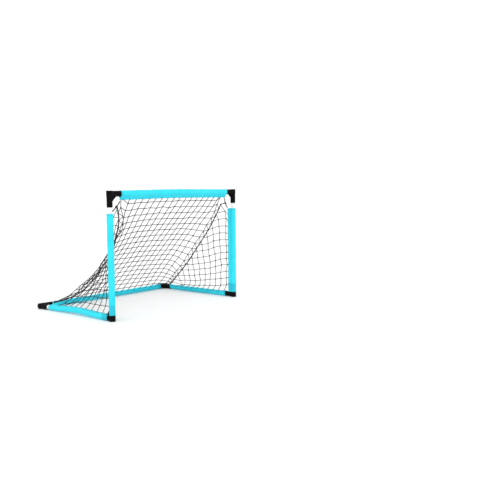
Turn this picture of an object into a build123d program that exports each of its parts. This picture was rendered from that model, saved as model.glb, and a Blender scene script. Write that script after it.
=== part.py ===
from build123d import *
from math import hypot, pi, radians, tan
import os

# A small street hockey goal: a push-fit frame of plastic poles and corner elbows, with fabric
# sleeves over the poles, a knotted net sewn to the sleeves and two seam cords along the net's
# diagonals. Millimetres, +Z up, +Y from the mouth towards the back. The origin is on the floor,
# in the middle of the footprint.

os.makedirs("parts", exist_ok=True)

# Overall size, over the elbows
goal_width = 900.0
goal_height = 600.0
goal_depth = 580.0

# Corner elbows, six alike: a capped main tube, and a branch tube out of its side
hub_radius = 14.5        # the thicker stretch of the main tube, at the corner
hub_length = 13.0        # how far that stretch goes past the corner's centre
cap_rounding = 2.0
arm_radius = 13.5
arm_reach = 76.0         # from the elbow's outer face to an arm's mouth
mouth_chamfer = 0.8
socket_radius = 11.3
socket_depth = 45.0
core_radius = 8.0        # the passage between the two sockets
web_reach = 38.0         # the web's tips, from the corner's centre
web_thickness = 5.0
web_root = 12.4          # the web starts inside the arms' walls

# Poles and the plugs that join two half poles
pole_radius = 11.0
pole_wall = 1.6
pole_chamfer = 0.3
socket_gap = 1.0         # between a pole's end and its socket's floor
left_bar_bow = 8.0       # the net's pull bows the left side bar up by this, at its middle
coupler_radius = 9.2
coupler_wall = 1.5
coupler_length = 120.0
coupler_chamfer = 1.0
collar_length = 3.0

# Fabric sleeves: round over the pole, drawn out to a flat hem where the net is sewn on
cloth = 0.6
sleeve_radius = 14.4
hem_radius = 1.2
upper_reach = 29.0       # pole axis to hem, on the posts and the crossbar
crossbar_hem_lean = 0.12     # the crossbar's hem hangs a little back as it goes down
ground_reach = 25.0      # pole axis to hem, on the ground bars
crossbar_sleeve_length = 746.0
post_sleeve_low = 29.0
post_sleeve_length = 466.0
left_sleeve_start = 24.0     # from the post's axis, back along the left side bar
right_sleeve_start = 52.0
left_sleeve_length = 451.5
right_sleeve_length = 437.0
rear_sleeve_start = -372.0
rear_sleeve_length = 766.0
web_slot_width = 9.0
web_slot_reach = 41.5    # a slot's end, from the corner's centre

# Net panels, as plain sheets
net_thickness = 2.5
net_lean = 1.4           # the back panel slopes, so its level sections are this much thicker
net_top = 553.5
net_top_half_width = 368.0
net_top_edge = 3.0       # back from the posts, at the panel's top corners
net_top_middle = 6.0     # and at the middle of its top
cord_clearance = 8.0     # from a seam cord's centreline to the edge of a panel
sleeve_clearance = 25.0  # from a post's axis to a side panel's front edge, both ways
shoulder_place = 0.78    # where the back panel has most of its depth, as a share of its half width
shoulder_depth = 0.8

# Seam cords and corner ties
seam_diameter = 4.0
tie_diameter = 3.0

# A seam cord's route: in from the post's axis, back from it, and up from the floor
seam_route = [
    (58, 17, 518),
    (83, 34, 478),
    (99, 60, 428),
    (107, 88, 377),
    (118, 115, 334),
    (122, 148, 292),
    (120, 186, 249),
    (116, 226, 205),
    (113, 270, 162),
    (109, 316, 121),
    (98, 361, 86),
    (72, 408, 60),
    (44, 444, 45),
    (25, 473, 38),
]

# The right cord's first two points, where the net pulls it further in
seam_top_right = [(70, 28, 518), (84, 38, 478)]
seam_routes = {"left": seam_route, "right": seam_top_right + seam_route[2:]}

# How far back the middle of the back panel is at the height of each of those points
back_net_middle = [32, 58, 94, 132, 167, 202, 242, 286, 334, 385, 436, 478, 505, 519]

# A corner tie's route, in the same terms: from the crossbar's hem, by the knot, to the post's sleeve
tie_route = [(66, 4, 552), (56, 13, 525), (23, 20, 498)]

# Places that follow from the sizes above
post_x = goal_width / 2 - hub_radius
front_y = hub_radius - goal_depth / 2
rear_y = goal_depth / 2 - hub_radius
top_z = goal_height - hub_radius
ground_z = hub_radius
mouth_offset = arm_reach - hub_radius            # corner's centre to an arm's mouth
floor_offset = mouth_offset - socket_depth       # corner's centre to a socket's floor
pole_offset = floor_offset + socket_gap          # corner's centre to a pole's end
half_pole_length = post_x - pole_offset - collar_length / 2
side_bar_length = rear_y - front_y - 2 * pole_offset

up, down = Vector(0, 0, 1), Vector(0, 0, -1)
back, forward = Vector(0, 1, 0), Vector(0, -1, 0)
right = Vector(1, 0, 0)
sides = {"left": -1, "right": 1}


def save(piece, label):
    """Labels a finished piece and writes its STEP file."""
    piece.part.label = label
    export_step(piece.part, f"parts/{label}.step")


def make_elbow(label, corner, main, branch):
    """A corner elbow: main is the capped tube's direction, branch the side tube's."""
    main_plane = Plane(origin=corner, x_dir=branch, z_dir=main)
    branch_plane = Plane(origin=corner, x_dir=main, z_dir=branch)
    web_plane = Plane(origin=corner, x_dir=branch, z_dir=branch.cross(main))
    with BuildPart() as elbow:
        with BuildSketch(main_plane.offset(-hub_radius)):
            Circle(hub_radius)
        extrude(amount=hub_radius + hub_length)
        fillet(elbow.edges().filter_by(GeomType.CIRCLE).sort_by(Axis(corner, main))[0], cap_rounding)
        for plane in (main_plane, branch_plane):
            with BuildSketch(plane):
                Circle(arm_radius)
            extrude(amount=mouth_offset)
        with BuildSketch(web_plane):
            Polygon((web_root, web_root), (web_reach, web_root), (web_root, web_reach), align=None)
        extrude(amount=web_thickness / 2, both=True)
        for plane in (main_plane, branch_plane):
            with BuildSketch(plane.offset(floor_offset)):
                Circle(socket_radius)
            extrude(amount=socket_depth, mode=Mode.SUBTRACT)
            with BuildSketch(plane):
                Circle(core_radius)
            extrude(amount=floor_offset, mode=Mode.SUBTRACT)
        for direction in (main, branch):
            mouth = elbow.edges().filter_by(GeomType.CIRCLE).group_by(Axis(corner, direction))[-1]
            chamfer(mouth, mouth_chamfer)
    save(elbow, label)


def draw_axis(start, along, length, bow=None):
    """The axis of a pole or sleeve. A bow is (from, to, rise): between those two it curves up."""
    if bow is None:
        Line(start, start + along * length)
        return
    first, last, rise = bow
    leave, land = start + along * first, start + along * last
    Line(start, leave)
    Spline(leave, (leave + land) / 2 + up * rise, land, tangents=(along, along))
    if last < length:
        Line(land, start + along * length)


def make_pole(label, start, along, length, bow=None):
    """A thin-walled pole."""
    with BuildPart() as pole:
        with BuildLine() as path:
            draw_axis(start, along, length, bow)
        with BuildSketch(Plane(origin=start, z_dir=along)):
            Circle(pole_radius)
            Circle(pole_radius - pole_wall, mode=Mode.SUBTRACT)
        sweep(path=path.line)
        rings = pole.edges().filter_by(GeomType.CIRCLE).group_by(Axis(start, along))
        chamfer(rings[0] + rings[-1], pole_chamfer)
    save(pole, label)


def make_coupler(label, centre):
    """The plug inside two half poles along X, with a collar that their ends meet."""
    across = Plane(origin=centre, z_dir=right)
    with BuildPart() as coupler:
        with BuildSketch(across):
            Circle(coupler_radius)
        extrude(amount=coupler_length / 2, both=True)
        chamfer(coupler.edges().filter_by(GeomType.CIRCLE), coupler_chamfer)
        with BuildSketch(across):
            Circle(pole_radius)
        extrude(amount=collar_length / 2, both=True)
        with BuildSketch(across):
            Circle(coupler_radius - coupler_wall)
        extrude(amount=coupler_length / 2, both=True, mode=Mode.SUBTRACT)
    save(coupler, label)


def make_sleeve(label, start, along, hem, length, reach, slot=None, bow=None):
    """A fabric sleeve from start along its pole, with its hem out in the direction hem."""
    section = Plane(origin=start, x_dir=hem, z_dir=along)
    with BuildPart() as sleeve:
        with BuildLine() as path:
            draw_axis(start, along, length, bow)
        for shrink, mode in ((0, Mode.ADD), (cloth, Mode.SUBTRACT)):
            with BuildSketch(section):
                Circle(sleeve_radius - shrink)
                with Locations((reach, 0)):
                    Circle(hem_radius - shrink)
                make_hull()
            sweep(path=path.line, mode=mode)
        if slot is not None:
            with BuildSketch(slot):
                Rectangle(web_slot_width, web_reach, align=(Align.CENTER, Align.MIN))
            extrude(amount=web_slot_reach, mode=Mode.SUBTRACT)
    save(sleeve, label)


def seam_point(side, point):
    """A point of a route, in the goal's own frame."""
    inward, behind, height = point
    return Vector(side * (post_x - inward), front_y + behind, height)


def make_cord(label, points, diameter):
    """A cord as straight runs joined by the largest tangent arcs that its runs allow."""
    radii = []
    for before, here, after in zip(points, points[1:], points[2:]):
        run_in, run_out = here - before, after - here
        shorter = min(run_in.length, run_out.length)
        radii.append(0.45 * shorter / tan(radians(run_in.get_angle(run_out)) / 2))
    with BuildPart() as cord:
        with BuildLine() as path:
            FilletPolyline(*points, radius=radii)
        with BuildSketch(Plane(origin=points[0], z_dir=points[1] - points[0])):
            Circle(diameter / 2)
        sweep()
    length = path.wires()[0].length
    expected = pi * (diameter / 2) ** 2 * length
    print(f"{label}: length {length:.0f}, radii", [round(r) for r in radii])
    print(f"{label}: volume over section times length {cord.part.volume / expected:.4f}")
    save(cord, label)


def make_back_net():
    """The back panel: a sheet that sags between the crossbar, the seam cords and the rear bar."""
    top_corners = [(side * net_top_half_width, net_top_edge) for side in sides.values()]
    levels = [(net_top, top_corners, net_top_middle)]
    for left_point, right_point, middle in zip(*seam_routes.values(), back_net_middle):
        edges = []
        for side, (inward, behind, height) in zip(sides.values(), (left_point, right_point)):
            edges.append((side * (post_x - inward - cord_clearance), behind))
        levels.append((height, edges, middle))
    with BuildPart() as net:
        for height, edges, middle in levels:
            shoulders = []
            for x, y in edges:
                shoulders.append((shoulder_place * x, y + shoulder_depth * (middle - y)))
            outline = [edges[0], shoulders[0], (0, middle), shoulders[1], edges[1]]
            inner = [(x, front_y + y) for x, y in outline]
            outer = [(x, y + net_thickness * net_lean) for x, y in inner]
            with BuildSketch(Plane.XY.offset(height)):
                with BuildLine():
                    Polyline(*inner, *reversed(outer), close=True)
                make_face()
        loft(ruled=True)
    save(net, "back_net")


def make_side_net(label, side, route):
    """A side panel: from its post's sleeve and its side bar's sleeve to the seam cord."""
    with BuildPart() as net:
        for inward, behind, height in route[1:]:
            run_in, run_back = inward - sleeve_clearance, behind - sleeve_clearance
            run = hypot(run_in, run_back)
            share = (run - cord_clearance) / run
            start = Vector(sleeve_clearance, sleeve_clearance)
            end = start + Vector(run_in, run_back) * share
            across = Vector(run_back, -run_in).normalized() * net_thickness
            corners = [start, end, end + across, start + across]
            with BuildSketch(Plane.XY.offset(height)):
                with BuildLine():
                    Polyline(*[(side * (post_x - c.X), front_y + c.Y) for c in corners], close=True)
                make_face()
        loft(ruled=True)
    save(net, label)


# Corner elbows
for name, side in sides.items():
    inward = right * -side
    make_elbow(f"top_elbow_{name}", Vector(side * post_x, front_y, top_z), down, inward)
    make_elbow(f"base_elbow_{name}", Vector(side * post_x, front_y, ground_z), up, back)
    make_elbow(f"rear_elbow_{name}", Vector(side * post_x, rear_y, ground_z), inward, forward)

# Poles: posts, side bars, and a crossbar and a rear bar of two halves each
for name, side in sides.items():
    inward = right * -side
    base = Vector(side * post_x, front_y, ground_z)
    make_pole(f"post_{name}", base + up * pole_offset, up, top_z - ground_z - 2 * pole_offset)
    socketed = mouth_offset - pole_offset
    bow = (socketed, side_bar_length - socketed, left_bar_bow) if name == "left" else None
    make_pole(f"side_bar_{name}", base + back * pole_offset, back, side_bar_length, bow)
    crossbar_end = Vector(side * (post_x - pole_offset), front_y, top_z)
    make_pole(f"crossbar_half_{name}", crossbar_end, inward, half_pole_length)
    rear_end = Vector(side * (post_x - pole_offset), rear_y, ground_z)
    make_pole(f"rear_bar_half_{name}", rear_end, inward, half_pole_length)
make_coupler("crossbar_coupler", Vector(0, front_y, top_z))
make_coupler("rear_bar_coupler", Vector(0, rear_y, ground_z))

# Sleeves
crossbar_start = Vector(-crossbar_sleeve_length / 2, front_y, top_z)
make_sleeve("crossbar_sleeve", crossbar_start, right, Vector(0, crossbar_hem_lean, -1),
            crossbar_sleeve_length, upper_reach)
for name, side in sides.items():
    post_start = Vector(side * post_x, front_y, post_sleeve_low)
    web_slot = Plane(origin=(side * post_x, front_y, ground_z))
    make_sleeve(f"post_sleeve_{name}", post_start, up, Vector(-side, 1, 0),
                post_sleeve_length, upper_reach, slot=web_slot)
left_start = Vector(-post_x, front_y + left_sleeve_start, ground_z)
left_slot = Plane(origin=(-post_x, front_y, ground_z), x_dir=-right, z_dir=back)
left_bow = (mouth_offset - left_sleeve_start, left_sleeve_length, left_bar_bow)
make_sleeve("side_sleeve_left", left_start, back, Vector(1, 0, 1),
            left_sleeve_length, ground_reach, slot=left_slot, bow=left_bow)
right_start = Vector(post_x, front_y + right_sleeve_start, ground_z)
make_sleeve("side_sleeve_right", right_start, back, Vector(-1, 0, 1),
            right_sleeve_length, ground_reach)
make_sleeve("rear_sleeve", Vector(rear_sleeve_start, rear_y, ground_z), right, Vector(0, -1, 1),
            rear_sleeve_length, ground_reach)

# Net, seam cords and corner ties
make_back_net()
for name, side in sides.items():
    route = seam_routes[name]
    make_side_net(f"side_net_{name}", side, route)
    make_cord(f"seam_cord_{name}", [seam_point(side, p) for p in route], seam_diameter)
    make_cord(f"corner_tie_{name}", [seam_point(side, p) for p in tie_route], tie_diameter)
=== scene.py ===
"""The looks of a small street hockey goal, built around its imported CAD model.

The camera and the cords come first. A short simulation then hangs the net between the sleeves'
hems and the two seam cords, and the sleeves, the twine, its knots and the stitching are made in
mesh code. Everything is in metres, in the frame of the CAD model.
"""

import math

import bpy
import numpy as np
from mathutils import Euler, Matrix, Vector


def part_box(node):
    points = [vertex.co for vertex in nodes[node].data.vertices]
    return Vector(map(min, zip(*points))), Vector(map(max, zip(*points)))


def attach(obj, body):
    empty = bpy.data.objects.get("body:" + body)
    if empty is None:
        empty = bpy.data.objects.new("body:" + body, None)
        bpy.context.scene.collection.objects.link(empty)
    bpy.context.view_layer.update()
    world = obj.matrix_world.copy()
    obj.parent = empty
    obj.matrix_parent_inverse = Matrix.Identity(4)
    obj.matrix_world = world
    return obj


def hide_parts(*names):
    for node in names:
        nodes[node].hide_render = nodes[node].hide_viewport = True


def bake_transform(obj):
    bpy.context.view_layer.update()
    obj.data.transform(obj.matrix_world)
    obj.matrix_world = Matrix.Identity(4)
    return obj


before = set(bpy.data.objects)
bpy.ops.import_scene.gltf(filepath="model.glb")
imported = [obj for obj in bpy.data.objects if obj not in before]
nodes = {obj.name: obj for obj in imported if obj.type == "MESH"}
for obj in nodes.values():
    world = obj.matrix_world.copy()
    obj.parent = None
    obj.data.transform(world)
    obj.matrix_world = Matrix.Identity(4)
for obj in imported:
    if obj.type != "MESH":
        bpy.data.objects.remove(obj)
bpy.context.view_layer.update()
sides = {"left": -1, "right": 1}


def middle(node):
    """The middle of a CAD node's box."""
    low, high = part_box(node)
    return (low + high) / 2


# Places from the frame
post_x = middle("post_right").x
front_y = middle("post_right").y
rear_y = middle("rear_bar_half_right").y
ground_z = middle("side_bar_right").z
top_z = middle("crossbar_half_right").z

# Sleeves: their radius and reaches are the CAD model's
sleeve_radius = 0.0144
snug_radius = 0.0124  # where a ground sleeve hugs its pole
upper_reach = 0.029
ground_reach = 0.025
crossbar_hem_lean = 0.12
base_arm_top = 0.076  # the base elbows' arms end here, inside the post sleeves
arm_length = 0.0615  # from a corner's centre to an arm's mouth
hem_turn = 0.35  # a ground sleeve's hem lies over by this angle between its ends
level = (0.0, 1.0, 0.0)  # a sleeve's rise: its middle, half its length, its height
bow = (-0.007, 0.207, 0.008)  # the left side bar's
crossbar_puff = (0.0, 0.36, 0.003)  # and how the crossbar's cloth stands off
arm_margin = 0.024  # a ground sleeve stays wide this far past an elbow's arm
easing_rings = 8  # and narrows over this many rings on each side
arm_blur = 0.0015  # how softly an arm shows under the cloth

# Cords and twine
seam_diameter = 0.004
tie_diameter = 0.003
twine_radius = 0.0019
side_twine_radius = 0.0018
whipping_radius = 0.0011
whipping_pitch = 0.012
rope_swell = 1.4  # a laced cord is this much thicker than its bare size
tie_swell = 1.5
seam_pitch = 0.016  # one turn of the strands of a cord
tie_pitch = 0.012
seam_step = 0.0015  # runs along a cord
tie_step = 0.001
twine_pitch = 0.010
corner_knot = (0.0038, 0.0019)  # the larger knots' sizes, and the radii of what is tied
seam_top_knot = (0.0028, 0.0015)
seam_end_knot = (0.0030, 0.0016)
lashing_knot = (0.0026, 0.0015)

# The net
widest_mesh = 0.0430  # of the back panel, along its rows
row_slack = 1.085  # a row's length, over the gap that it spans
mesh_down = 0.0386  # of the back panel, down its columns
columns = 17  # cells across the back panel
rows = 19  # cells down it
lacing_reach = 0.022  # from the seam cord to the back panel's outer knots
first_row_share = 0.52  # the row under the crossbar is a part of a cell
last_row_share = 0.88  # and so is the one over the rear bar
lashing_start = -0.117  # where row 0 would be tied to a seam cord, as a share of the cord
lashing_pitch = 0.0625  # and how far apart the rows are tied
first_lashing = 2  # the rows above hang free of the seam cords
edge_mesh = 0.0435  # of the panel's outer columns, beside the seams
hem_depth = 0.004  # how far the twine runs into a hem
strand_steps = 24  # runs in a cell's side
least_cell = 0.15  # the part cell beside a seam is at least this much of one
full_steps = 600  # of the hanging simulation
knot_size = 0.0018
knot_twine = 0.0014
seam_start = 0.042  # the rows start out at these shares of a seam cord, and then settle
seam_end = 0.985  # no lashing is past this share of it
crossbar_span = (-0.356, 0.364)
rear_span = (-0.366, 0.388)
twine_scatter = 0.035  # how unequal the lengths of twine are
side_slack = 1.03  # a side panel's lengths, over the gaps that they span
side_columns = 10
side_rows = 12
row_heights = (0.074, 0.461)  # the lowest and the highest row's, at the post
column_places = (0.055, 0.428)  # the first and the last column's, back from the post
row_ends = (0.90, 0.075)  # where those rows and columns end, as shares of the seam cord
column_ends = (0.005, 0.74)
first_column_share = 0.35  # the column beside the post is a part of a cell away

# Cloth
cloth_thickness = 0.0006
hem_width = 0.006
knot_pitch = 0.039  # the twine pulls at the hems this far apart
hem_half = 0.0009  # half of the hem's thickness
end_hem = 0.009  # the turned-in band at a sleeve's ends
hem_step = 0.0005  # how much thicker that band is, and how softly it begins
hem_pull = 0.0006  # how far the twine pulls the hem
hem_waves = ((0.073, 0.0007), (0.031, 0.0005))  # how the hem wanders: wavelengths and heights
cloth_waves = (0.055, 0.09, 0.16)  # the soft swells of the cloth
cloth_swell = 0.00022
crease_spacing = 0.028
painted_end_shade = 0.5  # how much painted shade darkens the doubled band there, and along the hem
painted_hem_shade = 0.5
ring_spacing = 0.0025
stitch_pitch = 0.0036
stitch_length = 0.0028
stitch_margin = 0.004  # from a sleeve's end to its first stitch
stitch_lift = 0.0003  # how far the zigzag stands out from the hem
thread_radius = 0.00025
zigzag_pitch = 0.003
arc_points = 36  # of a sleeve's section, and then its lower face's and its upper face's
stitch_row = arc_points + 8
edge_row = arc_points + 11
slit_reach = 0.0415  # the slit for an elbow's web, from the corner's centre
slit_half = 0.0045

random = np.random.default_rng(11)


# ---- camera

camera_place = Vector((-2.446, -2.678, 0.619))
camera_azimuth = math.radians(-51.607)
camera_dip = math.radians(5.44)
camera_roll = math.radians(-0.326)
camera_lens = 48.7


def add_object(name, data):
    made = bpy.data.objects.new(name, data)
    bpy.context.scene.collection.objects.link(made)
    return made


def make_camera():
    camera = add_object("camera", bpy.data.cameras.new("camera"))
    camera.data.lens = camera_lens
    camera.data.clip_end = 100
    camera.location = camera_place
    aim = Euler((math.pi / 2 - camera_dip, 0, camera_azimuth)).to_matrix()
    camera.rotation_euler = (aim @ Matrix.Rotation(camera_roll, 3, "Z")).to_euler()
    bpy.context.scene.camera = camera


# ---- materials

class Paint:
    """A node material with a Principled shader, and short calls for the nodes that feed it."""

    def __init__(self, name, color, roughness, **plain):
        self.material = bpy.data.materials.new(name)
        self.material.use_nodes = True
        self.material.diffuse_color = (*color, 1)
        self.tree = self.material.node_tree
        self.shader = self.tree.nodes["Principled BSDF"]
        self.shader.inputs["Base Color"].default_value = (*color, 1)
        self.shader.inputs["Roughness"].default_value = roughness
        for socket, value in plain.items():
            self.shader.inputs[socket.replace("_", " ")].default_value = value

    def feed(self, socket, value):
        """Sets a socket, or links it to another node's output."""
        if isinstance(value, bpy.types.NodeSocket):
            self.tree.links.new(value, socket)
        else:
            socket.default_value = value

    def node(self, kind, inputs=(), **settings):
        """A node with these settings. inputs pairs its sockets' names or numbers with values."""
        made = self.tree.nodes.new("ShaderNode" + kind)
        for name, value in settings.items():
            setattr(made, name, value)
        for socket, value in inputs:
            self.feed(made.inputs[socket], value)
        return made

    def coordinates(self, uv=None, stretch=(1, 1, 1)):
        """Object coordinates, or a UV map's in metres, stretched by that much along each axis."""
        if uv is None:
            source = self.node("TexCoord").outputs["Object"]
        else:
            source = self.node("UVMap", uv_map=uv).outputs["UV"]
        return self.node("Mapping", [("Scale", stretch), ("Vector", source)]).outputs["Vector"]

    def noise(self, vector, scale, detail=3.0, roughness=0.55):
        inputs = [("Scale", scale), ("Detail", detail), ("Roughness", roughness),
                  ("Vector", vector)]
        return self.node("TexNoise", inputs).outputs["Fac"]

    def wave(self, vector, period, direction):
        """Bands of that period, in metres, across X or Y."""
        inputs = [("Scale", math.pi / (10 * period)), ("Vector", vector)]
        made = self.node("TexWave", inputs, wave_type="BANDS", bands_direction=direction)
        return made.outputs["Fac"]

    def math(self, operation, first, second):
        made = self.node("Math", [(0, first), (1, second)], operation=operation)
        return made.outputs["Value"]

    def spread(self, value, low, high, to_low=0.0, to_high=1.0):
        """A value from low to high, spread over to_low to to_high."""
        numbers = enumerate((value, low, high, to_low, to_high))
        return self.node("MapRange", numbers).outputs["Result"]

    def mix(self, share, first, second):
        """A colour between two, each a colour or another node's output."""
        made = self.node("Mix", [("Factor", share)], data_type="RGBA")
        colors = [socket for socket in made.inputs if socket.type == "RGBA"]
        for socket, value in zip(colors, (first, second)):
            self.feed(socket, (*value, 1) if isinstance(value, tuple) else value)
        return next(o for o in made.outputs if o.type == "RGBA")

    def color(self, output):
        self.feed(self.shader.inputs["Base Color"], output)

    def rough(self, output):
        self.feed(self.shader.inputs["Roughness"], output)

    def bump(self, height, distance, strength=1.0):
        inputs = [("Distance", distance), ("Strength", strength), ("Height", height)]
        self.feed(self.shader.inputs["Normal"], self.node("Bump", inputs).outputs["Normal"])


def make_moulded_black():
    """Black moulded plastic: a fine spark-eroded grain and dull scuffs."""
    paint = Paint("black_moulded_plastic", (0.003, 0.003, 0.0035), 0.6, Specular_IOR_Level=0.05)
    place = paint.coordinates()
    scuffs = paint.spread(paint.noise(place, 60, 6), 0.52, 0.72)
    grain = paint.noise(place, 2600, 2)
    paint.color(paint.mix(scuffs, (0.003, 0.003, 0.0035), (0.009, 0.009, 0.010)))
    paint.rough(paint.spread(scuffs, 0, 1, 0.5, 0.7))
    paint.bump(grain, 0.00008, 0.6)
    return paint.material


def make_white_pole():
    """White extruded pipe: glossy, with a fine grain and a little dust."""
    paint = Paint("white_pole_plastic", (0.86, 0.87, 0.88), 0.28)
    place = paint.coordinates()
    dust = paint.spread(paint.noise(place, 35, 5), 0.45, 0.75)
    paint.color(paint.mix(dust, (0.88, 0.89, 0.90), (0.76, 0.77, 0.78)))
    paint.rough(paint.spread(dust, 0, 1, 0.24, 0.45))
    paint.bump(paint.noise(place, 900, 2), 0.00005, 0.4)
    return paint.material


def make_sleeve_fabric():
    """Cyan woven polyester: plain weave, soft colour variation, a darker cast where a black elbow
    shows through the cloth, and painted shade at the doubled ends and along the hems, which a point
    attribute says."""
    paint = Paint("cyan_woven_polyester", (0.03, 0.68, 0.82), 0.62, Specular_IOR_Level=0.25,
                  Sheen_Weight=0.06, Sheen_Roughness=0.4)
    place = paint.coordinates()
    cloth = paint.coordinates("cloth")
    warp = paint.wave(cloth, 0.0009, "X")
    weft = paint.wave(cloth, 0.0009, "Y")
    weave = paint.math("MULTIPLY", warp, weft)
    blotches = paint.spread(paint.noise(place, 14, 4), 0.35, 0.65)
    slubs = paint.noise(paint.coordinates("cloth", (60, 900, 1)), 1, 3)
    dyed = paint.mix(blotches, (0.020, 0.67, 0.81), (0.032, 0.73, 0.87))
    threads = paint.mix(paint.spread(weave, 0, 1, 0.0, 0.22), dyed, (0.008, 0.50, 0.66))
    streaked = paint.mix(paint.spread(slubs, 0.5, 0.8, 0, 0.15), threads, (0.07, 0.79, 0.92))
    # The point attribute: darker where a black elbow shows through, and painted shade at the
    # doubled ends and along the hems
    see_through_and_painted_shade = paint.node("Attribute", attribute_name="see_through_and_painted_shade")
    dark = paint.spread(see_through_and_painted_shade.outputs["Fac"], 0, 1, 0, 0.42)
    paint.color(paint.mix(dark, streaked, (0.004, 0.27, 0.40)))
    paint.rough(paint.spread(slubs, 0.3, 0.8, 0.55, 0.72))
    paint.bump(weave, 0.0002, 0.5)
    return paint.material


def make_thread():
    """Sewing thread, a darker cyan than the cloth."""
    paint = Paint("cyan_sewing_thread", (0.01, 0.42, 0.56), 0.6)
    place = paint.coordinates()
    paint.color(paint.mix(paint.noise(place, 400, 2), (0.008, 0.36, 0.50), (0.02, 0.50, 0.64)))
    paint.bump(paint.noise(place, 5000, 1), 0.00005, 0.5)
    return paint.material


def make_twine(name, dark, pale):
    """Black twisted twine or cord: dull, with paler fibres on top and a fine fuzz."""
    paint = Paint(name, dark, 0.78, Sheen_Weight=0.1)
    place = paint.coordinates()
    fibres = paint.spread(paint.noise(place, 900, 4, 0.7), 0.45, 0.75)
    length = paint.spread(paint.noise(place, 25, 3), 0.35, 0.7)
    paint.color(paint.mix(paint.math("MULTIPLY", fibres, length), dark, pale))
    paint.rough(paint.spread(fibres, 0, 1, 0.68, 0.88))
    paint.bump(paint.noise(place, 3200, 3), 0.00012, 0.8)
    return paint.material


# ---- shapes

class Surface:
    """Collects points and faces, and makes one piece of them."""

    def __init__(self):
        self.points = []
        self.faces = []
        self.weights = []
        self.total = 0

    def add(self, points, faces, weights=None):
        self.points.append(points)
        self.faces += [[corner + self.total for corner in face] for face in faces]
        self.weights.append(np.zeros(len(points)) if weights is None else weights)
        self.total += len(points)

    def piece(self, name, material):
        mesh = bpy.data.meshes.new(name)
        mesh.from_pydata(np.concatenate(self.points).tolist(), [], self.faces)
        mesh.materials.append(material)
        mesh.polygons.foreach_set("use_smooth", [True] * len(mesh.polygons))
        mesh.update()
        return add_object(name, mesh)


def unit(vectors):
    return vectors / np.maximum(np.linalg.norm(vectors, axis=-1, keepdims=True), 1e-12)


def ease(share):
    """From 0 to 1, starting and ending gently."""
    return share * share * (3 - 2 * share)


def soft_step(value):
    """From 0 well below nothing to 1 well above it."""
    return 0.5 * (1 + np.tanh(value / 2))


def distances(line):
    """How far along the line each of its points is."""
    return np.concatenate([[0], np.cumsum(np.linalg.norm(np.diff(line, axis=0), axis=1))])


def at(line, places):
    """The points at these distances along the line."""
    along = distances(line)
    return np.stack([np.interp(places, along, line[:, axis]) for axis in range(3)], -1)


def rings(line, closed=False):
    """Two directions across the line at each of its points, turning as little as they can."""
    if closed:
        tangents = unit(np.roll(line, -1, 0) - np.roll(line, 1, 0))
    else:
        tangents = unit(np.gradient(line, axis=0))
    first = np.cross(tangents[0], (0.3, 0.1, 0.9))
    across = [first / np.linalg.norm(first)]
    for tangent in tangents[1:]:
        carried = across[-1] - tangent * (across[-1] @ tangent)
        across.append(carried / math.sqrt(carried @ carried))
    across = np.array(across)
    return across, np.cross(tangents, across)


def band_face(ring, side, sides, count):
    """The face from a ring to the next, of count rings that each have that many sides."""
    here, there, beside = ring * sides, (ring + 1) % count * sides, (side + 1) % sides
    return [here + side, here + beside, there + beside, there + side]


def tube(line, radius, sides, lobes=0, lobe_depth=0.0, pitch=1.0, closed=False):
    """A tube along the line. With lobes its section has that many strands, twisted at the pitch."""
    across, over = rings(line, closed)
    turn = np.linspace(0, math.tau, sides, endpoint=False)
    twist = math.tau * distances(line) / pitch if lobes else np.zeros(len(line))
    angle = turn + twist[:, None]
    size = np.broadcast_to(np.asarray(radius, float), (len(line),))[:, None]
    size = size * (1 - lobe_depth * (0.5 - 0.5 * np.cos(lobes * turn)))
    points = (line[:, None] + across[:, None] * (size * np.cos(angle))[..., None]
              + over[:, None] * (size * np.sin(angle))[..., None])
    count = len(line)
    faces = [band_face(ring, side, sides, count) for ring in range(count if closed else count - 1)
             for side in range(sides)]
    if not closed:
        faces.append(list(range(sides))[::-1])
        faces.append([(count - 1) * sides + side for side in range(sides)])
    return points.reshape(-1, 3), faces


def smooth(line, steps, tightness=0.5):
    """A line through the points: between straight runs, at 0, and a Catmull-Rom spline, at 1."""
    padded = np.concatenate([[2 * line[0] - line[1]], line, [2 * line[-1] - line[-2]]])
    t = np.linspace(0, 1, steps, endpoint=False)[:, None]
    pieces = []
    for a, b, c, d in zip(padded, padded[1:], padded[2:], padded[3:]):
        curve = 0.5 * (2 * b + (c - a) * t + (2 * a - 5 * b + 4 * c - d) * t**2
                       + (3 * b - a - 3 * c + d) * t**3)
        straight = b + (c - b) * t
        pieces.append(tightness * curve + (1 - tightness) * straight)
    return np.concatenate(pieces + [line[-1:]])


def nurbs_line(points):
    """The points of the smooth line that has these as its control points."""
    curve = bpy.data.curves.new("route", "CURVE")
    curve.dimensions = "3D"
    curve.resolution_u = 32
    spline = curve.splines.new("NURBS")
    spline.points.add(len(points) - 1)
    for control, point in zip(spline.points, points):
        control.co = (*point, 1)
    spline.order_u = 3
    spline.use_endpoint_u = True
    holder = bpy.data.objects.new("route", curve)
    mesh = bpy.data.meshes.new_from_object(holder)
    line = np.array([vertex.co for vertex in mesh.vertices], float)
    bpy.data.meshes.remove(mesh)
    bpy.data.curves.remove(curve)
    return line


# ---- cords

def seam_share(s):
    """How far a seam cord follows the front frame, at a share s of the way down it."""
    return (1 - s) ** 1.2


def follow(surface, name, material, slot, *replaced):
    """Makes a piece of the surface, fixes its points in place, and hides the CAD parts that it
    replaces.
    """
    piece = surface.piece(name, material)
    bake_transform(piece)
    if replaced:
        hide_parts(*replaced)
    return piece


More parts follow.
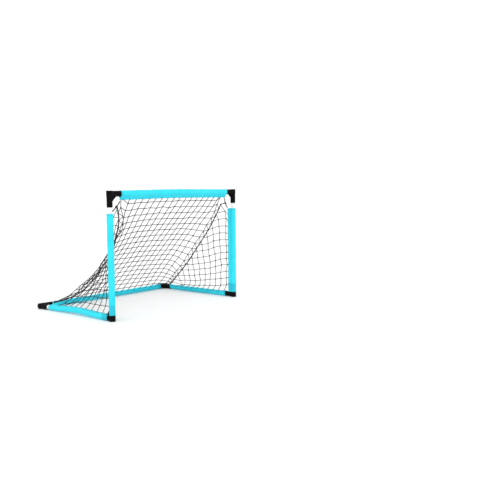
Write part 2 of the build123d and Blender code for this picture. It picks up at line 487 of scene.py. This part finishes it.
# A seam cord's route: in from the post's axis, back from it, and up from the floor
seam_route = [
    (0.058, 0.017, 0.518),
    (0.083, 0.034, 0.478),
    (0.099, 0.060, 0.428),
    (0.107, 0.088, 0.377),
    (0.118, 0.115, 0.334),
    (0.122, 0.148, 0.292),
    (0.120, 0.186, 0.249),
    (0.116, 0.226, 0.205),
    (0.113, 0.270, 0.162),
    (0.109, 0.316, 0.121),
    (0.098, 0.361, 0.086),
    (0.072, 0.408, 0.060),
    (0.044, 0.444, 0.045),
    (0.025, 0.473, 0.038),
]
# The right cord's first two points, where the net pulls it further in
seam_top_right = [(0.070, 0.028, 0.518), (0.084, 0.038, 0.478)]
seam_routes = {"left": seam_route, "right": seam_top_right + seam_route[2:]}
tie_route = [(0.066, 0.004, 0.552), (0.056, 0.013, 0.525), (0.023, 0.020, 0.498)]


def placed(side, route):
    """A route's points in the frame."""
    return [(side * (post_x - inward), front_y + behind, height)
            for inward, behind, height in route]


def rope(line, radius, pitch, step):
    """Three strands twisted together along the line."""
    total = distances(line)[-1]
    fine = at(line, np.linspace(0, total, round(total / step) + 1))
    return fine, tube(fine, radius, 12, lobes=3, lobe_depth=0.28, pitch=pitch)


def rotated(turn, lean):
    """A rotation, as a matrix: about Z, then about X."""
    about_z = np.array([[math.cos(turn), math.sin(turn), 0], [-math.sin(turn), math.cos(turn), 0],
                        [0, 0, 1]])
    about_x = np.array([[1, 0, 0], [0, math.cos(lean), math.sin(lean)],
                        [0, -math.sin(lean), math.cos(lean)]])
    return about_z @ about_x


def trefoil(size, thickness, steps=24, sides=5):
    """A small knot: a closed loop that goes through itself, about the origin."""
    t = np.linspace(0, math.tau, steps, endpoint=False)
    around = size * (1 + 0.5 * np.cos(3 * t))
    height = 0.55 * size * np.sin(3 * t)
    line = np.stack([around * np.cos(2 * t), around * np.sin(2 * t), height], 1)
    return tube(line, thickness, sides, closed=True)


def add_knot(surface, place, knot, turn, lean):
    """One of the larger knots, at that place."""
    shape, faces = trefoil(*knot, steps=48, sides=8)
    surface.add(place + shape @ rotated(turn, lean), faces)


def coil_round(line, gap, radius, pitch, share_from=0.01, share_to=0.99):
    """Twine wound round a line, and how far along the line each of its rings is, as a share."""
    total = distances(line)[-1]
    shares = np.linspace(share_from, share_to, round(12 * total / pitch))
    core = at(line, shares * total)
    across, over = rings(core)
    angle = (math.tau * shares * total / pitch + 0.8 * np.sin(40 * shares))[:, None]
    coil = core + gap * (across * np.cos(angle) + over * np.sin(angle))
    return tube(coil, radius, 6), shares


def draw_ropes(cord_material):
    """The seam cords and the corner ties. Returns each side's pieces and the lines they follow."""
    made = {}
    seam_radius, tie_radius = rope_swell * seam_diameter / 2, tie_swell * tie_diameter / 2
    for name, side in sides.items():
        seam_line = nurbs_line(placed(side, seam_routes[name]))
        seam_fine, (points, faces) = rope(seam_line, seam_radius, seam_pitch, seam_step)
        surface = Surface()
        surface.add(points, faces, np.repeat(seam_share(np.linspace(0, 1, len(seam_fine))), 12))
        seam = follow(surface, f"seam_rope_{name}", cord_material, "seam_cord", f"seam_cord_{name}")

        tie_line = nurbs_line(placed(side, tie_route))
        tie_fine, (points, faces) = rope(tie_line, tie_radius, tie_pitch, tie_step)
        surface = Surface()
        surface.add(points, faces)
        tie = surface.piece(f"tie_rope_{name}", cord_material)
        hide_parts(f"corner_tie_{name}")
        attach(tie, "front_frame")

        surface = Surface()
        tie_middle = tie_line[len(tie_line) // 2]
        add_knot(surface, tie_middle, corner_knot, side * 0.7, 0.9)
        add_knot(surface, seam_line[0], seam_top_knot, side * 1.9, 0.3)
        bridge = smooth(np.array([seam_line[0], tie_middle]), 12)
        surface.add(*tube(bridge, seam_radius, 12, lobes=3, lobe_depth=0.28, pitch=seam_pitch))
        wound, _ = coil_round(tie_line, tie_radius, whipping_radius, whipping_pitch / 2, 0.03, 0.97)
        surface.add(*wound)
        knot = surface.piece(f"corner_knot_{name}", cord_material)
        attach(knot, "front_frame")
        made[name] = {"seam": seam, "seam_line": seam_line, "seam_fine": seam_fine,
                      "tie": tie, "tie_line": tie_line, "tie_fine": tie_fine, "knot": knot}
    return made


# ---- the hanging net

class Course:
    """How a sleeve runs along its pole: its axis, which way its hem points, and how wide it is."""

    def __init__(self, node, axis, hem, reach, turn=0.0, lift=level, arms=(), slit=False):
        """axis is 0, 1 or 2. turn is how far the hem lies over between the ends. lift is where the
        cloth is highest, how far its rise spreads and how high that is. arms lists the stretches,
        from and to, with an elbow's arm under the cloth. slit opens it over an elbow's web."""
        low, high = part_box(node)
        self.node, self.axis, self.reach, self.slit = node, axis, reach, slit
        self.start, self.end = low[axis], high[axis]
        self.origin = np.array([post_x if low.x > 0 else -post_x,
                                rear_y if low.y > rear_y / 2 else front_y,
                                top_z if low.z > top_z / 2 else ground_z])
        self.direction = np.eye(3)[axis]
        self.hem = unit(np.array(hem, float))
        self.over = np.cross(self.direction, self.hem)
        self.turn = -turn if self.over[2] > 0 else turn
        self.lift, self.arms = lift, arms

    def inside(self, places, margin):
        """From 0 at the sleeve's ends to 1 further in than the margin."""
        return ease(np.clip(np.minimum(places - self.start, self.end - places) / margin, 0, 1))

    def centres(self, places):
        """The points of the sleeve's own axis at these places along it."""
        points = np.repeat(self.origin[None], len(places), 0)
        points[:, self.axis] = places
        peak, spread, height = self.lift
        points[:, 2] += height * ease(np.clip(1 - np.abs(places - peak) / spread, 0, 1))
        return points

    def directions(self, places):
        """Which way the hem points there, and the direction across it."""
        angle = (self.turn * self.inside(places, 0.07))[:, None]
        cosine, sine = np.cos(angle), np.sin(angle)
        return cosine * self.hem + sine * self.over, cosine * self.over - sine * self.hem

    def covered(self, places, margin=0.0):
        """How far the cloth lies on an elbow's arm, or within that margin of it: from 0 to 1."""
        share = np.zeros(len(places))
        for first, last in self.arms:
            rise, fall = places - first + margin, places - last - margin
            over_arm = soft_step(rise / arm_blur) * soft_step(-fall / arm_blur)
            share = np.maximum(share, over_arm)
        return share

    def edge(self, places):
        """The points of the hem's edge, and the hem's directions there."""
        places = np.atleast_1d(places)
        hems, _ = self.directions(places)
        return self.centres(places) + hems * self.reach, hems


def make_courses():
    """The courses of all six sleeves."""
    courses = [Course("crossbar_sleeve", 0, (0, crossbar_hem_lean, -1), upper_reach,
                      lift=crossbar_puff)]
    for name, side in sides.items():
        courses.append(Course(f"post_sleeve_{name}", 2, (-side, 1, 0), upper_reach,
                              arms=[(0, base_arm_top)], slit=True))
        left = name == "left"
        courses.append(Course(
            f"side_sleeve_{name}", 1, (-side, 0, 1), ground_reach, hem_turn,
            lift=bow if left else level, arms=[(front_y, front_y + arm_length)], slit=left))
    courses.append(Course("rear_sleeve", 0, (0, -1, 1), ground_reach, hem_turn,
                          arms=[(post_x - arm_length, post_x)]))
    return {course.node: course for course in courses}


class Net:
    """The knots of all three panels, the twine between them, and how they hang."""

    def __init__(self):
        self.places = []
        self.held = []
        self.share = []
        self.links = []
        self.lengths = []
        self.bends = []

    def knot(self, place, held=False, share=0.5):
        """Adds a knot. A held one stays put, and share is how far it follows the front frame."""
        self.places.append(place)
        self.held.append(held)
        self.share.append(share)
        return len(self.places) - 1

    def tie(self, first, second, length):
        self.links.append((first, second))
        self.lengths.append(length)

    def stiffen(self, before, here, after):
        self.bends.append((before, here, after))

    def hang(self, steps, relaxations=20, gravity=0.2, damping=0.96, stiffness=0.01):
        """Lets the net fall until it rests: twine keeps its length, and bends only a little."""
        place = np.array(self.places, float)
        free = 1.0 - np.array(self.held, float)
        links = np.array(self.links)
        lengths = np.array(self.lengths) * random.normal(1, twine_scatter, len(self.links))
        bends = np.array(self.bends)
        a, b = links.T
        mobility = free[a] + free[b]
        pulls = np.maximum(np.bincount(links.ravel(), minlength=len(place)), 1)
        speed = np.zeros_like(place)
        step = 1 / 60
        for _ in range(steps):
            before = place.copy()
            speed[:, 2] -= gravity * step
            place = place + speed * step * free[:, None]
            for _ in range(relaxations):
                run = place[b] - place[a]
                now = np.linalg.norm(run, axis=1)
                slack = np.where(mobility > 0, (now - lengths) / now / np.maximum(mobility, 1), 0)
                pull = run * slack[:, None]
                move = np.zeros_like(place)
                np.add.at(move, a, pull * free[a][:, None])
                np.add.at(move, b, -pull * free[b][:, None])
                ends = (place[bends[:, 0]] + place[bends[:, 2]]) / 2
                bent = (ends - place[bends[:, 1]]) * stiffness * free[bends[:, 1]][:, None]
                np.add.at(move, bends[:, 1], bent)
                place = place + move / pulls[:, None] * 1.6
            speed = (place - before) / step * damping * free[:, None]
        self.places = place

    def share_out(self):
        """Spreads the front frame's share evenly over the free knots, from the held ones."""
        links = np.array(self.links)
        free = ~np.array(self.held)
        share = np.array(self.share, float)
        pulls = np.maximum(np.bincount(links.ravel(), minlength=len(share)), 1)
        for _ in range(1500):
            total = np.zeros(len(share))
            np.add.at(total, links[:, 0], share[links[:, 1]])
            np.add.at(total, links[:, 1], share[links[:, 0]])
            share = np.where(free, total / pulls, share)
        self.share = share


def back_hems(courses):
    """Where the back panel's columns meet the crossbar's hem and the rear bar's, and the hems'
    directions there."""
    return [courses[node].edge(np.linspace(*span, columns + 1))
            for node, span in (("crossbar_sleeve", crossbar_span), ("rear_sleeve", rear_span))]


def add_back_panel(net, courses, seams):
    """Adds the back panel's knots and twine. Returns its knots, row by row, and the lashings."""
    (top, _), (bottom, _) = back_hems(courses)
    lashings = {}
    for name, line in seams.items():
        shares = np.clip(lashing_start + lashing_pitch * (np.arange(rows) + 0.5), 0, seam_end)
        spots = at(line, shares * distances(line)[-1])
        lashings[name] = [net.knot(spot, True, seam_share(s)) for spot, s in zip(spots, shares)]
    knots = np.array([[net.places[knot] for knot in lashings[name]] for name in sides])
    gaps = np.linalg.norm(knots[1] - knots[0], axis=1)
    spans = (gaps[1:] + gaps[:-1]) / 2 - 2 * lacing_reach
    mesh_across = np.minimum(row_slack * spans / columns, widest_mesh)
    back = np.zeros((rows + 1, columns + 1), int)
    for row in range(rows + 1):
        down = row / rows
        along = (seam_start + (seam_end - seam_start) * down) * distances(seams["left"])[-1]
        left, right = at(seams["left"], along), at(seams["right"], along)
        for column in range(columns + 1):
            across = column / columns
            hung = (1 - down) * top[column] + down * bottom[column]
            drawn = (1 - across) * left + across * right
            if row in (0, rows):
                back[row, column] = net.knot(hung, True, 1.0 - down)
            else:
                back[row, column] = net.knot((hung + drawn) / 2)
    for row in range(rows):
        for column in range(columns + 1):
            share = {0: first_row_share, rows - 1: last_row_share}.get(row, 1)
            mesh = mesh_down if 0 < column < columns else edge_mesh
            net.tie(back[row, column], back[row + 1, column], mesh * share)
            if row > 0 and column < columns:
                net.tie(back[row, column], back[row, column + 1], mesh_across[row - 1])
            if row > 0 and 0 < column < columns:
                net.stiffen(back[row, column - 1], back[row, column], back[row, column + 1])
                net.stiffen(back[row - 1, column], back[row, column], back[row + 1, column])
    spacing = lashing_pitch * distances(seams["left"])[-1]
    strand = math.hypot(spacing / 2, lacing_reach)
    for name, column in (("left", 0), ("right", columns)):
        for row in range(1, rows):
            for lashing in lashings[name][max(row - 1, first_lashing):row + 1]:
                net.tie(lashing, back[row, column], strand)
    return back, lashings


def add_side_panel(net, name, side, courses, line):
    """Adds a side panel's knots and twine: a triangle from its post and its side bar to the seam.
    Returns its rows and its columns, as chains of knots."""
    total = distances(line)[-1]
    heights = np.linspace(*row_heights, side_rows)
    places = front_y + np.linspace(*column_places, side_columns)
    row_shares = np.linspace(*row_ends, side_rows)
    column_shares = np.linspace(*column_ends, side_columns)
    at_post, _ = courses[f"post_sleeve_{name}"].edge(heights)
    at_bar, _ = courses[f"side_sleeve_{name}"].edge(places)
    row_chains = [[net.knot(spot, True, 1.0)] for spot in at_post]
    column_chains = []
    for place, bar_spot, share in zip(places, at_bar, column_shares):
        chain = [net.knot(bar_spot, True, 0.0)]
        for height, row_share, row_chain in zip(heights, row_shares, row_chains):
            if row_share > share:
                inward = 0.035 + 2 * (place - front_y) * height
                chain.append(net.knot(np.array([side * (post_x - inward), place, height])))
                row_chain.append(chain[-1])
        column_chains.append(chain)
    for chains, shares, others, first in (
            (column_chains, column_shares, row_shares, 1.0),
            (row_chains, row_shares, column_shares, first_column_share)):
        cell = abs(others[1] - others[0])
        for chain, share in zip(chains, shares):
            left_over = abs(others[len(chain) - 2] - share) / cell
            chain.append(net.knot(at(line, share * total), True, seam_share(share)))
            cells = np.array([first] + [1.0] * (len(chain) - 3) + [max(left_over, least_cell)])
            gap = np.linalg.norm(net.places[chain[-1]] - net.places[chain[0]])
            for before, here, share in zip(chain, chain[1:], cells / cells.sum()):
                net.tie(before, here, side_slack * gap * share)
            for before, here, after in zip(chain, chain[1:], chain[2:]):
                net.stiffen(before, here, after)
    return row_chains, column_chains


def draw_strand(surface, net, chain, radius, first_hem=None, last_hem=None):
    """Twine through a chain of knots, and into the hems at its ends."""
    points, shares = list(net.places[chain]), list(net.share[chain])
    if first_hem is not None:
        points.insert(0, points[0] - hem_depth * first_hem)
        shares.insert(0, shares[0])
    if last_hem is not None:
        points.append(points[-1] - hem_depth * last_hem)
        shares.append(shares[-1])
    line = smooth(np.array(points), strand_steps)
    shares = np.interp(np.linspace(0, len(shares) - 1, len(line)), np.arange(len(shares)), shares)
    tube_points, faces = tube(line, radius, 6, lobes=3, lobe_depth=0.25, pitch=twine_pitch)
    surface.add(tube_points, faces, np.repeat(shares, 6))


def draw_knots(surface, net, crossings):
    """A small knot of twine where two strands cross: crossings lists (knot, beside, above)."""
    shape, faces = trefoil(knot_size, knot_twine)
    for here, beside, above in crossings:
        along = unit(net.places[beside] - net.places[here])
        over = unit(np.cross(along, net.places[above] - net.places[here]))
        turn = random.uniform(0, math.tau)
        first = math.cos(turn) * along + math.sin(turn) * np.cross(over, along)
        size = random.uniform(0.88, 1.15)
        frame_of_knot = np.stack([first, np.cross(over, first), over])
        points = net.places[here] + size * shape @ frame_of_knot
        surface.add(points, faces, np.full(len(points), net.share[here]))


def draw_back_panel(net, back, courses, material):
    """The back panel's rows and columns of twine, and its knots."""
    across = Surface()
    for row in range(1, rows):
        draw_strand(across, net, back[row], twine_radius)
    follow(across, "back_net_rows", material, "net_cord", "back_net")
    down = Surface()
    (_, top_hems), (_, bottom_hems) = back_hems(courses)
    for column in range(columns + 1):
        draw_strand(down, net, back[:, column], twine_radius, top_hems[column], bottom_hems[column])
    follow(down, "back_net_columns", material, "net_cord")
    tied = Surface()
    crossings = [(back[row, column], back[row, column + 1 if column < columns else column - 1],
                  back[row + 1, column]) for row in range(1, rows) for column in range(columns + 1)]
    draw_knots(tied, net, crossings)
    follow(tied, "back_net_knots", material, "net_cord")


def draw_side_panel(net, chains, name, courses, material):
    """A side panel's twine and knots."""
    row_chains, column_chains = chains
    strands = Surface()
    for chain_set, course in ((row_chains, courses[f"post_sleeve_{name}"]),
                              (column_chains, courses[f"side_sleeve_{name}"])):
        for chain in chain_set:
            _, hems = course.edge(net.places[chain[0]][course.axis])
            draw_strand(strands, net, chain, side_twine_radius, first_hem=hems[0])
    follow(strands, f"side_net_{name}_twine", material, "net_cord", f"side_net_{name}")
    tied = Surface()
    beside = {here: after for chain in row_chains for here, after in zip(chain[1:], chain[2:])}
    crossings = [(here, beside[here], above) for chain in column_chains
                 for here, above in zip(chain[1:], chain[2:])]
    draw_knots(tied, net, crossings)
    follow(tied, f"side_net_{name}_knots", material, "net_cord")


def draw_lacing(net, back, lashings, name, line, material):
    """The lacing along a seam: twine wound round the cord, strands to the back panel's edge, and a
    knot at the cord's lower end."""
    surface = Surface()
    column = 0 if name == "left" else columns
    for row in range(1, rows):
        for lashing in lashings[name][max(row - 1, first_lashing):row + 1]:
            draw_strand(surface, net, [lashing, back[row, column]], twine_radius)
    shape, faces = trefoil(*lashing_knot)
    for lashing in lashings[name][first_lashing:]:
        turned = shape @ rotated(random.uniform(0, 6), random.uniform(0, 3))
        surface.add(net.places[lashing] + turned, faces, np.full(len(shape), net.share[lashing]))
    gap = rope_swell * seam_diameter / 2 + 0.4 * whipping_radius
    (points, faces), shares = coil_round(line, gap, whipping_radius, whipping_pitch)
    surface.add(points, faces, np.repeat(seam_share(shares), 6))
    add_knot(surface, line[-1], seam_end_knot, 0.4, 0.8)
    return follow(surface, f"seam_lacing_{name}", material, "net_cord")


# ---- sleeves

def sleeve_section(reach, radius):
    """A sleeve's section, about its pole's axis with the hem towards +X: round over the pole, and
    drawn in to a flat hem of two layers. Returns its points and how far each is into the hem."""
    neck = reach - hem_width
    opening = math.acos((radius - hem_half) / neck)
    angles = np.linspace(opening, math.tau - opening, arc_points)
    arc = radius * np.stack([np.cos(angles), np.sin(angles)], 1)
    t = np.linspace(0, 1, 9)[1:, None]
    start, end = arc[0], np.array([neck, hem_half])
    leaving = np.array([math.sin(opening), -math.cos(opening)])
    size = np.linalg.norm(end - start)
    upper = ((2 * t**3 - 3 * t**2 + 1) * start + (t**3 - 2 * t**2 + t) * size * leaving
             + (3 * t**2 - 2 * t**3) * end + (t**3 - t**2) * size * np.array([1, 0]))
    flat = np.array([[neck + hem_width * share, hem_half] for share in (0.33, 0.66, 0.9)])
    edge = np.array([[reach, hem_half * 0.6]])
    upper = np.concatenate([upper, flat, edge])
    lower = upper * (1, -1)
    points = np.concatenate([arc, lower, upper[::-1]])
    into = np.clip((points[:, 0] - radius * 0.7) / (reach - radius * 0.7), 0, 1)
    return points, into


def creases(along, around, length):
    """Outward folds of the cloth: soft swells, and narrow creases that run round it at a slant."""
    swell = np.zeros(np.broadcast(along, around).shape)
    for wave in cloth_waves:
        phase, lean = random.uniform(0, 6.3), random.uniform(-14, 14)
        swell += cloth_swell * (1 + np.sin(math.tau * along / wave + lean * around + phase))
    for place in np.arange(0.02, length - 0.02, crease_spacing):
        place += random.uniform(-0.012, 0.012)
        lean = random.uniform(-0.9, 0.9)
        width = random.uniform(0.0022, 0.0045)
        height = random.uniform(0.0002, 0.0006)
        where = random.uniform(0.02, 0.07)
        off = (along - place - lean * (around - where)) / width
        swell += height * np.exp(-off**2) * np.exp(-((around - where) / 0.03) ** 2)
    return swell


def make_sleeve(course, body, material):
    """A sleeve of cloth along its course. Returns the piece, its points ring by ring, and its flat
    size."""
    node, axis, reach = course.node, course.axis, course.reach
    length = course.end - course.start
    ring_count = round(length / ring_spacing) + 1
    along = np.linspace(0, length, ring_count)
    places = course.start + along
    covered = course.covered(places)
    from_end = np.minimum(along, length - along)
    wide, into = sleeve_section(reach, sleeve_radius)
    section = np.repeat(wide[None], ring_count, 0)
    if course.turn:
        snug, _ = sleeve_section(reach, snug_radius)
        near_arm = np.pad(course.covered(places, arm_margin), easing_rings, "edge")
        window = 2 * easing_rings + 1
        wideness = np.convolve(near_arm, np.ones(window) / window, "valid")
        section = snug + (wide - snug) * wideness[:, None, None]
    around = distances(np.concatenate([wide, wide[:1]]))
    tangent = unit(np.roll(wide, -1, 0) - np.roll(wide, 1, 0))
    outward = np.stack([tangent[:, 1], -tangent[:, 0]], 1)
    swell = creases(along[:, None], around[None, :-1], length) * (1 - into) ** 0.7
    swell *= np.clip(from_end / 0.03, 0, 1)[:, None]
    swell *= 1 - 0.8 * covered[:, None]
    doubled = soft_step((end_hem - from_end) / hem_step)
    swell += hem_step * doubled[:, None]
    pull = hem_pull * np.cos(math.tau * along / knot_pitch + 1.0)
    wander = sum(height * np.sin(math.tau * along / wave + random.uniform(0, 6))
                 for wave, height in hem_waves)
    flat = section + outward * swell[..., None]
    flat[..., 0] += pull[:, None] * into**2
    flat[..., 1] += wander[:, None] * into**2
    hems, overs = course.directions(places)
    points = course.centres(places)[:, None] + flat[..., :1] * hems[:, None]
    points += flat[..., 1:] * overs[:, None]
    points[..., 2] = np.maximum(points[..., 2], cloth_thickness)
    beside_web = np.zeros(points.shape[:2], bool)
    if course.slit:
        behind_pole = points[..., 3 - axis] > course.origin[3 - axis]
        near_corner = points[..., axis] < (ground_z if axis == 2 else front_y) + slit_reach
        beside_web = np.abs(points[..., 0] - course.origin[0]) < slit_half
        beside_web = beside_web & behind_pole & near_corner
    sides_count = len(wide)
    faces, uvs = [], []
    for ring in range(ring_count - 1):
        for side in range(sides_count):
            if beside_web[ring, side]:
                continue
            faces.append(band_face(ring, side, sides_count, ring_count))
            left, right = around[side], around[side + 1]
            near, far = along[ring], along[ring + 1]
            uvs += [near, left, near, right, far, right, far, left]
    surface = Surface()
    surface.add(points.reshape(-1, 3), faces)
    piece = surface.piece(f"{node}_cloth", material)
    piece.data.uv_layers.new(name="cloth").data.foreach_set("uv", uvs)
    # Painted shade at the doubled ends and along the hem, taken with the darkening where a black
    # elbow shows through the cloth
    painted_end_and_hem_shade = np.maximum(painted_end_shade * doubled[:, None], painted_hem_shade * (into > 0.72))
    dark = np.maximum(covered[:, None], painted_end_and_hem_shade)
    shade = piece.data.attributes.new("see_through_and_painted_shade", "FLOAT", "POINT")
    shade.data.foreach_set("value", dark.ravel().astype(np.float32))
    cloth = piece.modifiers.new("cloth", "SOLIDIFY")
    cloth.thickness = cloth_thickness
    cloth.offset = -1
    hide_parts(node)
    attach(piece, body)
    return piece, points, (around[-1], length)


def make_stitches(node, points, body, material):
    """A row of stitches along each face of a sleeve's hem, and a zigzag over its raw edge."""
    surface = Surface()
    count = points.shape[1]
    for row, opposite in ((stitch_row, count - 1 - stitch_row + arc_points),
                          (count - 1 - stitch_row + arc_points, stitch_row)):
        line = points[:, row]
        along = distances(line)
        out = unit(line - points[:, opposite])
        for place in np.arange(stitch_margin, along[-1] - stitch_margin, stitch_pitch):
            spots = place + stitch_length * np.array([-0.5, -0.3, 0.3, 0.5])
            lift = np.array([-0.0003, 0.0002, 0.0002, -0.0003])[:, None]
            outward = np.stack([np.interp(spots, along, out[:, k]) for k in range(3)], 1)
            surface.add(*tube(at(line, spots) + outward * lift, thread_radius, 5))
    low, high = points[:, edge_row], points[:, edge_row + 1]
    along = distances(low)
    forward = unit(points[:, edge_row] - points[:, stitch_row])
    places = np.arange(0.002, along[-1] - 0.002, zigzag_pitch / 4)
    turn = np.arange(len(places)) % 4
    below, above = at(low, places), at(high, places)
    outward = unit(below - above)
    ahead = np.stack([np.interp(places, along, forward[:, k]) for k in range(3)], 1)
    lift = outward * stitch_lift
    line = np.where((turn < 2)[:, None], below + lift, above - lift)
    line = line + ahead * np.where(turn % 2 == 0, -0.0012, 0.0004)[:, None]
    surface.add(*tube(line, thread_radius, 4))
    piece = surface.piece(f"{node}_stitches", material)
    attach(piece, body)
    return piece


def make_sleeves(courses, cloth, thread):
    """All six sleeves, with their stitches."""
    for node, course in courses.items():
        body = "front_frame" if "crossbar" in node or "post" in node else "ground_frame"
        sleeve, points, flat = make_sleeve(course, body, cloth)
        stitches = make_stitches(node, points, body, thread)


# ---- the CAD parts and the studio

def dress_parts(black, white):
    """Gives the elbows and poles their materials."""
    for name, node in nodes.items():
        if "elbow" in name:
            paint = black
        elif not any(word in name for word in ("sleeve", "net", "cord", "tie")):
            paint = white
        else:
            continue
        for slot in node.material_slots:
            slot.material = paint


def make_floor():
    """A pale floor, far larger than the view."""
    paint = Paint("studio_floor", (0.96, 0.96, 0.96), 0.9)
    radius, corners = 40.0, 96
    turn = np.linspace(0, math.tau, corners, endpoint=False)
    rim = np.stack([np.cos(turn) * radius, np.sin(turn) * radius, np.zeros(corners)], 1)
    mesh = bpy.data.meshes.new("floor")
    mesh.from_pydata(rim.tolist(), [], [list(range(corners))])
    mesh.materials.append(paint.material)
    floor = add_object("floor", mesh)


def soft_sun(name, azimuth, height, strength, spread):
    """A lamp so far away that it lights the whole floor alike, as wide as a soft box. The azimuth
    is the way it shines, from +Y towards +X, and height is how far up it stands."""
    lamp = bpy.data.lights.new(name, "SUN")
    lamp.energy = strength
    lamp.angle = math.radians(spread)
    made = add_object(name, lamp)
    made.rotation_euler = (math.radians(90 - height), 0, -math.radians(azimuth))


def make_studio():
    """A white studio: bright all round, brightest low down, with a large soft key light."""
    world = bpy.data.worlds.new("studio")
    world.use_nodes = True
    tree = world.node_tree
    background = tree.nodes["Background"]
    coordinates = tree.nodes.new("ShaderNodeTexCoord")
    parts = tree.nodes.new("ShaderNodeSeparateXYZ")
    ramp = tree.nodes.new("ShaderNodeMapRange")
    rise, zenith, strength_low, strength_high = 0.3, 1.0, 1.08, 0.62
    for socket, number in zip(list(ramp.inputs)[1:5], (rise, zenith, strength_low, strength_high)):
        socket.default_value = number
    tree.links.new(coordinates.outputs["Generated"], parts.inputs["Vector"])
    tree.links.new(parts.outputs["Z"], ramp.inputs["Value"])
    tree.links.new(ramp.outputs["Result"], background.inputs["Strength"])
    background.inputs["Color"].default_value = (1, 1, 1, 1)
    bpy.context.scene.world = world
    bpy.context.scene.view_settings.view_transform = "Standard"
    soft_sun("key", azimuth=20, height=50, strength=0.95, spread=50)
    soft_sun("fill", azimuth=100, height=40, strength=0.42, spread=60)
    make_floor()


# ---- everything, in order

make_camera()
twine_material = make_twine("black_net_twine", (0.010, 0.010, 0.013), (0.045, 0.045, 0.052))
cord_material = make_twine("black_seam_cord", (0.010, 0.010, 0.012), (0.045, 0.045, 0.05))
ropes = draw_ropes(cord_material)

courses = make_courses()
net = Net()
back, lashings = add_back_panel(net, courses, {name: ropes[name]["seam_line"] for name in sides})
panels = {name: add_side_panel(net, name, side, courses, ropes[name]["seam_line"])
          for name, side in sides.items()}
net.hang(steps=full_steps)
net.share_out()
draw_back_panel(net, back, courses, twine_material)
for name in sides:
    draw_side_panel(net, panels[name], name, courses, twine_material)
    draw_lacing(net, back, lashings, name, ropes[name]["seam_line"], twine_material)

make_sleeves(courses, make_sleeve_fabric(), make_thread())
dress_parts(make_moulded_black(), make_white_pole())
make_studio()
